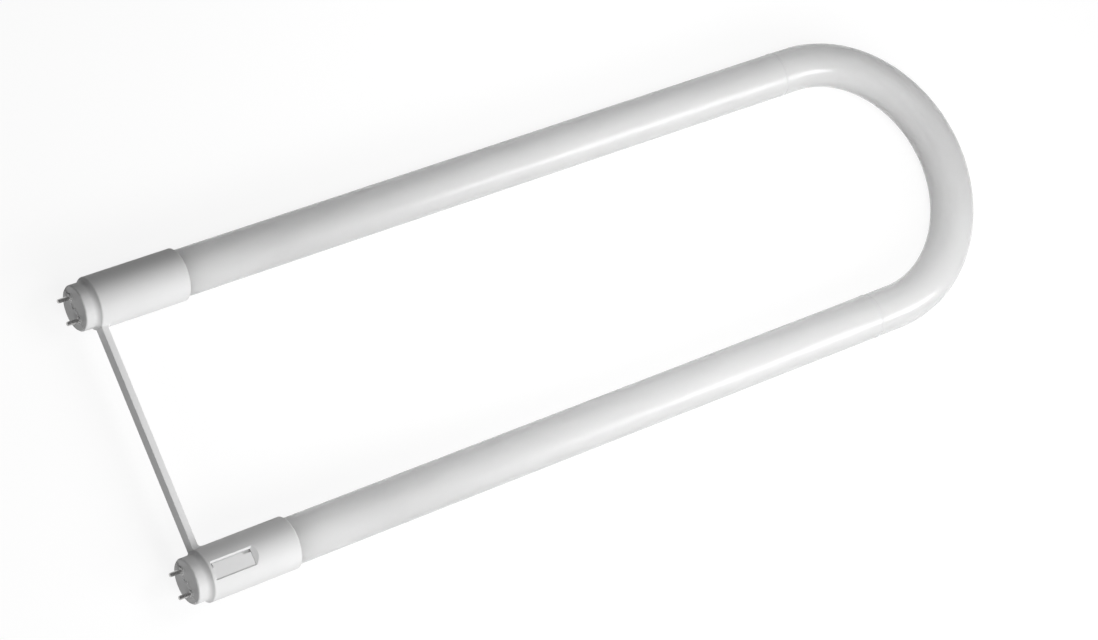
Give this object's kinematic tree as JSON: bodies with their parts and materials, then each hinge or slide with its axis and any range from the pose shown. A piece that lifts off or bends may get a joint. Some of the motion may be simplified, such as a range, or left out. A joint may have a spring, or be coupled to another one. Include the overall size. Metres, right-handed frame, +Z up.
{
  "type": "u-bend led tube",
  "caption": "Frosted white U-bend LED tube with long white end caps, bi-pin contacts and a slim brace between the caps.",
  "frame": {"origin": "middle of the overall box, at the height of the surface the tube lies on", "axes": "+X along the legs from the pins to the bend, +Y from the driver cap's leg to the plain cap's leg, +Z up, square to the plane of the U"},
  "size_m": [0.5724, 0.1814, 0.029],
  "materials": {
    "frosted_glass": "satin frosted white, glossier round the bend",
    "cap_plastic": "fine moulded matte white",
    "cover_plastic": "smooth matte off-white",
    "pin_metal": "dull nickel plate",
    "board_white": "white solder mask",
    "emitter_yellow": "phosphor gel",
    "wire_white": "smooth insulation",
    "wire_black": "smooth insulation",
    "driver_green": "green solder mask",
    "component_black": "moulded epoxy",
    "capacitor_sleeve": "shrink sleeve",
    "ferrite": "sintered dark grey",
    "header_metal": "plain"
  },
  "bodies": {
    "root": {"glass_tube": "frosted_glass", "plain_cap": "cap_plastic", "driver_cap": "cap_plastic", "spacer_brace": "cap_plastic", "recess_cover": "cover_plastic", "plain_pin_outer": "pin_metal", "plain_pin_inner": "pin_metal", "driver_pin_inner": "pin_metal", "driver_pin_outer": "pin_metal", "driven_light_board": "board_white", "far_light_board": "board_white", "driven_emitters": "emitter_yellow", "far_emitters": "emitter_yellow", "link_wire_outer": "wire_white", "link_wire_inner": "wire_white", "lead_wire_inner": "wire_black", "lead_wire_outer": "wire_black", "driver_board": "driver_green", "rectifier": "component_black", "control_chip": "component_black", "capacitor": "capacitor_sleeve", "inductor": "ferrite", "header_pins": "header_metal"}
  },
  "joints": []
}
